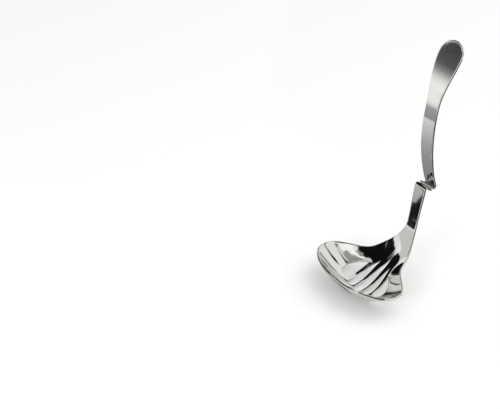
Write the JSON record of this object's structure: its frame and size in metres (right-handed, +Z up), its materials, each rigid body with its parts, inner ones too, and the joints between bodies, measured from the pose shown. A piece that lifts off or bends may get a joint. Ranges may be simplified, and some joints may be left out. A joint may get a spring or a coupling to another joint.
{
  "type": "slotted ladle",
  "caption": "Polished steel slotted ladle: wide bowl with flame-shaped drain slots, a flat neck hooked over a pot rim and a curved handle with a round paddle end.",
  "frame": {"origin": "middle of the flat underside of the hook, which rests on a pot's rim", "axes": "+Z up as the ladle hangs, +X away from the bowl and out of the pot, Y across the sheet"},
  "size_m": [0.1127, 0.0942, 0.2035],
  "materials": {
    "polished_steel": "mirror-polished stainless steel",
    "rivet_steel": "ground and polished stainless steel"
  },
  "bodies": {
    "root": {"bowl_and_neck": "polished_steel", "handle": "polished_steel", "rivet_far": "rivet_steel", "rivet_near": "rivet_steel"}
  },
  "joints": []
}
